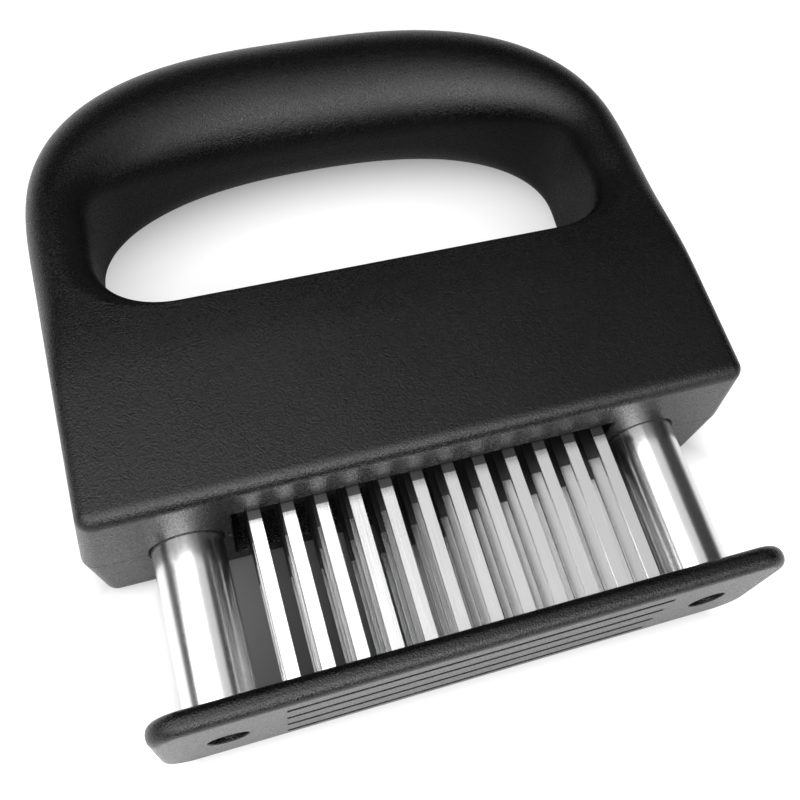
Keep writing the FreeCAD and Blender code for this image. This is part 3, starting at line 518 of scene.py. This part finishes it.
# ---- Guard plate and tubes -----------------------------------------------------------------
def guard_plate():
    """Slab whose rim is a quarter round at each face: inset is the edge radius times one minus
    the sine of an angle, height the radius times one minus its cosine; then slots and holes
    are cut."""
    low, high = plate_low[1], plate_high[1]
    half_x, half_z = plate_high[0], (plate_high[2] - plate_low[2]) / 2
    centre = (0, (plate_low[2] + plate_high[2]) / 2)
    angle = np.linspace(0, QUARTER, PLATE_EDGE_ROWS)
    inset = PLATE_EDGE * (1 - np.sin(angle))
    lift = PLATE_EDGE * (1 - np.cos(angle))

    def outline(growth):
        return rounded_rectangle(half_x + growth, half_z + growth, PLATE_CORNER + growth,
                                 centre, PLATE_CORNER_POINTS)

    levels = [*zip(low + lift, -inset), *zip(high - lift[::-1], -inset[::-1])]
    plate = stack_along_y("guard", outline, levels)
    cutters = []
    for node in COMBS:
        comb_low, comb_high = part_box(node)

        def slot(growth, place=(0, (comb_low[2] + comb_high[2]) / 2)):
            return rounded_rectangle(SLOT_HALF_LENGTH + growth, SLOT_HALF_WIDTH + growth,
                                     SLOT_CORNER + growth, place, SLOT_CORNER_POINTS)

        cutters.append(stack_along_y(f"slot_cutter_{node}", slot, [
            (low - OVERCUT, SLOT_CHAMFER + OVERCUT), (low + SLOT_CHAMFER, 0),
            (high - SLOT_CHAMFER, 0), (high + OVERCUT, SLOT_CHAMFER + OVERCUT)]))
    for name, x in TUBE_PLACES.items():
        def hole(radius, x=x):
            return circle(radius, x, PARTING_Z, HOLE_SIDES)

        cutters.append(stack_along_y(f"recess_cutter_{name}", hole, [
            (low - OVERCUT, RECESS_RADIUS + RECESS_CHAMFER + OVERCUT),
            (low + RECESS_CHAMFER, RECESS_RADIUS), (low + RECESS_DEPTH, RECESS_RADIUS)]))
        cutters.append(stack_along_y(f"socket_cutter_{name}", hole, [
            (high - SOCKET_DEPTH, SOCKET_RADIUS), (high + OVERCUT, SOCKET_RADIUS)]))
    carve(plate, cutters)
    even_normals(plate)
    dress(plate, "guard", GUARD_FINISH, "guard_plastic", "guard_plate")


def guide_tube(side):
    """Tube wall as a closed loop of radii and heights turned round the tube's axis."""
    x = TUBE_PLACES[side]
    low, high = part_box(f"guide_tube_{side}")[0][1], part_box(f"guide_tube_{side}")[1][1]
    bore = TUBE_RADIUS - TUBE_WALL
    profile = [(TUBE_RADIUS - TUBE_BEVEL, low), (TUBE_RADIUS, low + TUBE_BEVEL),
               (TUBE_RADIUS, high - TUBE_BEVEL), (TUBE_RADIUS - TUBE_BEVEL, high),
               (bore + TUBE_BEVEL, high), (bore, high - TUBE_BEVEL),
               (bore, low + TUBE_BEVEL), (bore + TUBE_BEVEL, low)]
    points = np.concatenate([ring_y(circle(radius, x, PARTING_Z, TUBE_SIDES), y)
                             for radius, y in profile])
    faces = outward(points - points.mean(axis=0),
                    grid_faces(len(profile), TUBE_SIDES, wrap_rows=True))
    tube = make_object(f"tube_{side}", points, faces, TUBE_CREASE)
    dress(tube, "guard", TUBE_FINISH, "tube_steel", f"guide_tube_{side}")


# ---- Blade combs ---------------------------------------------------------------------------
def comb_outline(spine_low, spine_high, tip, half_length):
    """Corner points of a comb, left to right along its lower edge, six for each blade:
    spine, shank end, two tip corners, shank end, spine; then the spine's upper corners."""
    middle = (np.arange(BLADES_PER_ROW) - (BLADES_PER_ROW - 1) / 2)[:, None] * BLADE_PITCH
    half, shank_end = BLADE_WIDTH / 2, tip + TIP_LENGTH
    x = middle + np.array([-half, -half, -TIP_FLAT / 2, TIP_FLAT / 2, half, half])
    y = np.broadcast_to([spine_low, shank_end, tip, tip, shank_end, spine_low], x.shape)
    blades = np.column_stack([x.ravel(), y.ravel()])
    ends = np.array([[half_length, spine_low], [half_length, spine_high],
                     [-half_length, spine_high], [-half_length, spine_low]])
    return np.vstack([blades, ends])


def inset_loop(loop, step):
    """Closed outline moved inwards: each corner goes along the sum of its two edges' normals,
    divided by one plus their dot product, times the step."""
    edge = np.roll(loop, -1, axis=0) - loop
    normal = np.column_stack([-edge[:, 1], edge[:, 0]])
    normal /= np.linalg.norm(normal, axis=1, keepdims=True)
    before = np.roll(normal, 1, axis=0)
    return loop + step * (before + normal) / (1 + np.sum(before * normal, axis=1, keepdims=True))


def comb_faces(first, flip):
    """Flat faces of one side of a comb: each blade's ground tip and shank, then the spine."""
    start = np.arange(BLADES_PER_ROW)[:, None] * BLADE_CORNERS + first
    tips = start + np.array([1, 2, 3, 4])
    shanks = start + np.array([0, 1, 4, 5])
    ends = first + BLADES_PER_ROW * BLADE_CORNERS + np.arange(4)
    spine = np.concatenate([(start + np.array([0, 5])).ravel(), ends])
    faces = tips.tolist() + shanks.tolist() + [spine.tolist()]
    return [face[::-1] for face in faces] if flip else faces


def blade_comb(node):
    """Comb outline stacked through the sheet's thickness with broken edges; below the shanks
    the front face slopes back to the cutting edge."""
    (_, tip, back), (high_x, spine_high, front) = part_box(node)
    outline = comb_outline(spine_high - SPINE_HEIGHT, spine_high, tip, high_x)
    loops = [(back, BLADE_BEVEL), (back + BLADE_BEVEL, 0),
             (front - BLADE_BEVEL, 0), (front, BLADE_BEVEL)]
    points = np.concatenate([np.column_stack([inset_loop(outline, step), np.full(len(outline), z)])
                             for z, step in loops])
    down = np.clip((tip + TIP_LENGTH - points[:, 1]) / TIP_LENGTH, 0, 1)
    ground = front - (front - back) * (1 - TIP_THICKNESS) * down
    points[:, 2] = np.minimum(points[:, 2], ground)
    faces = outward(points - points.mean(axis=0), grid_faces(len(loops), len(outline)))
    faces += comb_faces(0, flip=True)
    faces += comb_faces(len(outline) * (len(loops) - 1), flip=False)
    comb = make_object(f"comb_{node[-1]}", points, faces, BLADE_CREASE)
    even_normals(comb, BLADE_CREASE)
    dress(comb, "housing", BLADE_FINISH, "blade_steel", node)


# ---- Springs -------------------------------------------------------------------------------
def return_spring(side):
    """Wire of circular section on a helix: radius times the cosine and sine of an even turn,
    with an even rise that waits for half a turn at both ends."""
    node = f"return_spring_{side}"
    low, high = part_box(node)[0][1] + WIRE_RADIUS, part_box(node)[1][1] - WIRE_RADIUS
    x = TUBE_PLACES[side]
    share = np.linspace(0, 1, SPRING_TURNS * SPRING_TURN_ROWS + 1)[:, None]
    rise = np.clip((share - 0.5 / SPRING_TURNS) / (1 - 1 / SPRING_TURNS), 0, 1)
    turn = 2 * math.pi * SPRING_TURNS * share
    around = np.linspace(0, 2 * math.pi, WIRE_SIDES, endpoint=False)[None, :]
    radius = SPRING_RADIUS + WIRE_RADIUS * np.cos(around)
    height = low + (high - low) * rise + WIRE_RADIUS * np.sin(around)
    points = np.stack([x + radius * np.cos(turn), height,
                       PARTING_Z + radius * np.sin(turn)], axis=-1)
    rows, columns = points.shape[:2]
    flat = points.reshape(-1, 3)
    faces = outward(flat - [x, 0, PARTING_Z], grid_faces(rows, columns))
    faces += [list(range(columns)), list(range(rows * columns - 1, (rows - 1) * columns - 1, -1))]
    spring = make_object(f"spring_{side}", flat, faces, WIRE_CREASE)
    dress(spring, "housing", WIRE_FINISH, "spring_steel", node)
    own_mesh(spring)


# ---- Shader nodes --------------------------------------------------------------------------
class Wire:
    """One output of a shader node; arithmetic on wires and numbers adds Math nodes."""

    def __init__(self, tree, socket):
        self.tree, self.socket = tree, socket

    def math(self, operation, *values):
        """Math node over the given values; this wire takes part only if it is among them."""
        made = self.tree.nodes.new("ShaderNodeMath")
        made.operation = operation
        for socket, value in zip(made.inputs, values):
            plug(value, socket)
        return Wire(self.tree, made.outputs[0])

    def __add__(self, other):
        return self.math("ADD", self, other)

    def __sub__(self, other):
        return self.math("SUBTRACT", self, other)

    def __rsub__(self, other):
        return self.math("SUBTRACT", other, self)

    def __mul__(self, other):
        return self.math("MULTIPLY", self, other)

    def __truediv__(self, other):
        return self.math("DIVIDE", self, other)

    def __rtruediv__(self, other):
        return self.math("DIVIDE", other, self)

    def __pow__(self, other):
        return self.math("POWER", self, other)

    def __rpow__(self, other):
        return self.math("POWER", other, self)

    __radd__ = __add__
    __rmul__ = __mul__

    def __abs__(self):
        return self.math("ABSOLUTE", self)

    def greater(self, other):
        """The larger of two values."""
        return self.math("MAXIMUM", self, other)

    def lesser(self, other):
        """The smaller of two values."""
        return self.math("MINIMUM", self, other)

    def step(self, low, high):
        """Zero below low, one above high and a straight ramp between."""
        return ((self - low) / (high - low)).greater(0.0).lesser(1.0)


def plug(value, socket):
    """Links a wire to a socket, or sets the socket to a plain value."""
    if isinstance(value, Wire):
        value.tree.links.new(value.socket, socket)
    else:
        socket.default_value = value


class Shader:
    """Node tree of a finish or of the room, with one method that adds any node."""

    def __init__(self, owner):
        owner.use_nodes = True
        self.owner, self.tree = owner, owner.node_tree
        self.tree.nodes.clear()

    def node(self, kind, settings=None, sockets=None, output=0):
        """Adds a node: its settings first, then its sockets."""
        made = self.tree.nodes.new(kind)
        for name, value in (settings or {}).items():
            setattr(made, name, value)
        for name, value in (sockets or {}).items():
            plug(value, made.inputs[name])
        return Wire(self.tree, made.outputs[output]) if made.outputs else made

    def object_place(self, stretch=(1, 1, 1)):
        """Object coordinates multiplied by a stretch for each axis."""
        place = self.node("ShaderNodeTexCoord", output="Object")
        return self.node("ShaderNodeVectorMath", {"operation": "MULTIPLY"}, {0: place, 1: stretch})

    def axes(self, place):
        """The x, y and z of a position or direction as three wires."""
        parts = self.node("ShaderNodeSeparateXYZ", None, {0: place})
        return [Wire(self.tree, parts.socket.node.outputs[axis]) for axis in "XYZ"]

    def ray_kinds(self):
        """Two wires: one for rays from the camera, else zero, and the same for reflections."""
        camera_ray = self.node("ShaderNodeLightPath", output="Is Camera Ray")
        return camera_ray, Wire(self.tree, camera_ray.socket.node.outputs["Is Glossy Ray"])

    def noise(self, place, scale, detail=2.0, roughness=0.5):
        """Noise between zero and one with so many grains per metre."""
        return self.node("ShaderNodeTexNoise", None, {
            "Vector": place, "Scale": scale, "Detail": detail, "Roughness": roughness})

    def mix(self, share, first, second):
        """Colour between two colours."""
        return self.node("ShaderNodeMix", {"data_type": "RGBA"},
                         {0: share, 6: first, 7: second}, output=2)

    def bump(self, height, distance):
        """Normal of a surface raised by a height from zero to one times a distance."""
        return self.node("ShaderNodeBump", None,
                         {"Height": height, "Distance": distance, "Strength": 1.0})

    def finish(self, sockets):
        """Closes a material with a Principled surface and returns it."""
        surface = self.node("ShaderNodeBsdfPrincipled", None, sockets)
        self.node("ShaderNodeOutputMaterial", None, {"Surface": surface})
        return self.owner


def grey(level, blue=1.0):
    """Neutral colour, a little cooler where blue is above one."""
    return (level, level, level * blue, 1.0)


# ---- Finishes ------------------------------------------------------------------------------
def moulded_plastic(name):
    """Black moulding with a fine spark-eroded grain, faint flow clouds and handling marks."""
    shader = Shader(bpy.data.materials.new(name))
    place = shader.object_place()
    grains = shader.noise(place, 2900.0, 1.0, 0.7)
    clouds = shader.noise(place, 28.0, 3.0, 0.55)
    marks = shader.noise(shader.object_place((1.0, 6.0, 1.0)), 60.0, 4.0, 0.7).step(0.58, 0.8)
    tone = (clouds * 0.7 + grains * 0.3).step(0.3, 0.7)
    return shader.finish({
        "Base Color": shader.mix(tone, grey(0.001), grey(0.004, 1.06)),
        "Roughness": 0.26 + (clouds - 0.5) * 0.08 + (grains - 0.5) * 0.5 - marks * 0.05,
        "Specular IOR Level": 0.46,
        "Normal": shader.bump(grains, 0.15 * MM),
    })


def inner_plastic():
    """Plain black moulding with a slight gloss for the pieces inside."""
    shader = Shader(bpy.data.materials.new("inner_moulding"))
    clouds = shader.noise(shader.object_place(), 180.0, 3.0)
    return shader.finish({
        "Base Color": shader.mix(clouds, grey(0.018), grey(0.03, 1.05)),
        "Roughness": 0.42 + (clouds - 0.5) * 0.14,
        "Normal": shader.bump(clouds, 0.02 * MM),
    })


def polished_tube():
    """Polished stainless tube: fine drawing lines along its length and a faint speckle."""
    shader = Shader(bpy.data.materials.new("polished_tube"))
    lines = shader.noise(shader.object_place((1.0, 0.03, 1.0)), 1800.0, 3.0, 0.6)
    speckle = shader.noise(shader.object_place(), 1500.0, 2.0, 0.6)
    clouds = shader.noise(shader.object_place(), 90.0, 3.0)
    return shader.finish({
        "Base Color": shader.mix(lines * 0.5 + clouds * 0.5, grey(0.76), grey(0.9, 1.01)),
        "Metallic": 1.0,
        "Roughness": (0.22 + (clouds - 0.5) * 0.1 + (lines - 0.5) * 0.12
                      + (speckle - 0.5) * 0.1),
        "Normal": shader.bump(lines * 0.5 + speckle * 0.5, 0.012 * MM),
    })


def ground_blades():
    """Stainless sheet ground along the blades: long streaks that vary in tone and gloss. The
    blades' tops, down to a little below the housing and lower down on the rows behind, are
    painted dark grey and a little rougher: a painted shade for the dark housing they reflect."""
    shader = Shader(bpy.data.materials.new("ground_blades"))
    streaks = shader.noise(shader.object_place((1.0, 0.02, 1.0)), 3000.0, 3.0, 0.65)
    bands = shader.noise(shader.object_place((1.0, 0.15, 1.0)), 160.0, 2.0)
    _, y, z = shader.axes(shader.object_place())
    # Painted shade: the blades' tops turn dark grey, standing in for the dark housing they reflect
    start = UNDERSIDE_Y - PAINTED_SHADE_LENGTH - (FRONT_ROW_Z - z) * PAINTED_SHADE_SLOPE
    painted_shade = (y - start).step(-PAINTED_SHADE_EDGE, PAINTED_SHADE_EDGE)
    ground = shader.mix(streaks * 0.6 + bands * 0.4, grey(0.72), grey(0.92))
    return shader.finish({
        "Base Color": shader.mix(painted_shade, ground, grey(0.13)),
        "Metallic": 1.0,
        "Roughness": 0.24 + (streaks - 0.5) * 0.16 + (bands - 0.5) * 0.08 + painted_shade * 0.1,
        "Normal": shader.bump(streaks, 0.012 * MM),
    })


def bright_wire():
    """Drawn spring wire with faint lengthwise marks."""
    shader = Shader(bpy.data.materials.new("bright_wire"))
    marks = shader.noise(shader.object_place((1.0, 4.0, 1.0)), 700.0, 3.0)
    return shader.finish({
        "Base Color": shader.mix(marks, grey(0.45), grey(0.62)),
        "Metallic": 1.0,
        "Roughness": 0.28 + (marks - 0.5) * 0.15,
    })


def screw_metal(name, dark, light):
    """Plated or dark screws: slightly mottled metal."""
    shader = Shader(bpy.data.materials.new(name))
    mottle = shader.noise(shader.object_place(), 900.0, 3.0)
    return shader.finish({
        "Base Color": shader.mix(mottle, grey(dark, 0.98), grey(light, 1.02)),
        "Metallic": 1.0,
        "Roughness": 0.3 + (mottle - 0.5) * 0.2,
        "Normal": shader.bump(mottle, 0.01 * MM),
    })


SHELL_FINISH = moulded_plastic("housing_moulding")
GUARD_FINISH = moulded_plastic("guard_moulding")
INNER_FINISH = inner_plastic()
TUBE_FINISH = polished_tube()
BLADE_FINISH = ground_blades()
WIRE_FINISH = bright_wire()
SCREW_FINISH = screw_metal("plated_screws", 0.5, 0.7)
# Dark screws for the guard plate's dark recesses
BLACK_SCREW_FINISH = screw_metal("dark_plate_screws", 0.05, 0.12)


def dress(thing, body, finish, slot, *nodes):
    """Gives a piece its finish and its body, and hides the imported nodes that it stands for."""
    thing.data.materials.clear()
    thing.data.materials.append(finish)
    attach(thing, body)
    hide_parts(*nodes)


def repaint(node, finish):
    """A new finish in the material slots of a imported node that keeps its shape."""
    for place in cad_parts[node].material_slots:
        place.material = finish


# ---- Table, light and camera ---------------------------------------------------------------
def table():
    """Large pale table top under the tool. Away from the tool, and in the middle of its finger
    opening, it glows for the eye so that it looks white; reflections show part of that glow.
    Under and beside the tool its colour is darkened into a painted shadow. The outline is the
    grip's superellipse above and two straight steps below."""
    corners = TABLE_REACH * np.array([[-1, -1, 0], [1, -1, 0], [1, 1, 0], [-1, 1, 0]])
    top = make_object("table_top", corners - [0, 0, TABLE_DROP], [[0, 1, 2, 3]])
    shader = Shader(bpy.data.materials.new("pale_table"))
    x, y, _ = shader.axes(shader.object_place())
    power = OUTER_ARCH[1]
    arched = ((abs(x) / HALF_WIDTH) ** power + (y.greater(0.0) / TOP_Y) ** power) ** (1 / power)
    beside_tubes = (abs(x) - TUBE_PLACES["right"] - TUBE_RADIUS).lesser(UNDERSIDE_Y - y)
    outside = ((arched - 1) * HALF_WIDTH).greater(-TOP_Y - y).greater(beside_tubes)
    # Zero under and beside the tool, where shade is painted into the table's colour, one away from it
    around = outside.step(*SHADOW_EDGE)
    from_middle = (x / POOL_RADII[0]) ** 2 + ((y - POOL_Y) / POOL_RADII[1]) ** 2
    pool = (1 - from_middle).step(0.0, POOL_EDGE)
    camera_ray, glossy_ray = shader.ray_kinds()
    glow = around.greater(pool * OPENING_GLOW) * camera_ray + around * glossy_ray * GLOSSY_GLOW
    tone = shader.noise(shader.object_place(), 6.0)
    brightest = grey(TABLE_GLOW * OPENING_GLOW)
    top.data.materials.append(shader.finish({
        # Painted shade: the table's colour is darker under and beside the tool
        "Base Color": shader.mix(around * 0.9 + tone * 0.1, grey(0.28), grey(0.74)),
        "Roughness": 0.9,
        "Specular IOR Level": 0.1,
        "Emission Color": shader.mix(glow / OPENING_GLOW, grey(0.0), brightest),
        "Emission Strength": 1.0,
    }))


def studio_room():
    """White behind the tool for the eye; for light and reflections a dim room with a pale
    band at the horizon."""
    world = bpy.data.worlds.new("studio")
    bpy.context.scene.world = world
    shader = Shader(world)
    up = shader.axes(shader.node("ShaderNodeTexCoord", output="Generated"))[2]
    camera_ray, _ = shader.ray_kinds()
    room = ROOM_LEVEL + (1 - up.step(*HORIZON_BAND)) * HORIZON_LEVEL
    level = room + (1.0 - room) * camera_ray
    background = shader.node("ShaderNodeBackground", None, {"Color": grey(1.0), "Strength": level})
    shader.node("ShaderNodeOutputWorld", None, {"Surface": background})


def softbox(name, centre, aim, width, depth, radiance):
    """Rectangular lamp whose power is pi times its radiance times its area."""
    lamp = bpy.data.lights.new(name, "AREA")
    lamp.shape = "RECTANGLE"
    lamp.size, lamp.size_y = width, depth
    lamp.energy = math.pi * radiance * width * depth
    holder = bpy.data.objects.new(name, lamp)
    holder.location = centre
    holder.rotation_euler = (Vector(aim) - Vector(centre)).to_track_quat("-Z", "Y").to_euler()
    holder.visible_camera = False
    bpy.context.scene.collection.objects.link(holder)


def camera():
    """Camera at the product view: place, sight line, lens and a small shift."""
    eye = Vector((-0.0500, -0.1215, 0.2535))
    sight = Vector((0.23305, 0.39102, -0.89039)).normalized()
    upwards = Vector((0.21166, 0.87325, 0.43890))
    right = sight.cross(upwards).normalized()
    lens = bpy.data.cameras.new("product_view")
    lens.sensor_width, lens.lens = 36.0, 47.75
    lens.shift_x, lens.shift_y = -0.0479, -0.0168
    lens.clip_start = 0.01
    holder = bpy.data.objects.new("product_view", lens)
    turn = Matrix((right, right.cross(sight), -sight)).transposed().to_4x4()
    holder.matrix_world = Matrix.Translation(eye) @ turn
    bpy.context.scene.collection.objects.link(holder)
    bpy.context.scene.camera = holder


# ---- The tool on its table -----------------------------------------------------------------
housing_half("front_half", 1, "front_shell")
housing_half("back_half", -1, "back_cover")
guard_plate()
for comb in COMBS:
    blade_comb(comb)
for side in TUBE_PLACES:
    guide_tube(side)
    return_spring(side)
    for stem in ("stop_collar", "tube_plug", "spring_guide"):
        repaint(f"{stem}_{side}", INNER_FINISH)
for number in (1, 2, 3):
    repaint(f"comb_spacer_{number}", INNER_FINISH)
for node in ("comb_pins", "housing_screws"):
    repaint(node, SCREW_FINISH)
repaint("plate_screws", BLACK_SCREW_FINISH)

table()
studio_room()
for lamp in LAMPS:
    softbox(*lamp)
camera()
bpy.context.scene.view_settings.view_transform = "Standard"
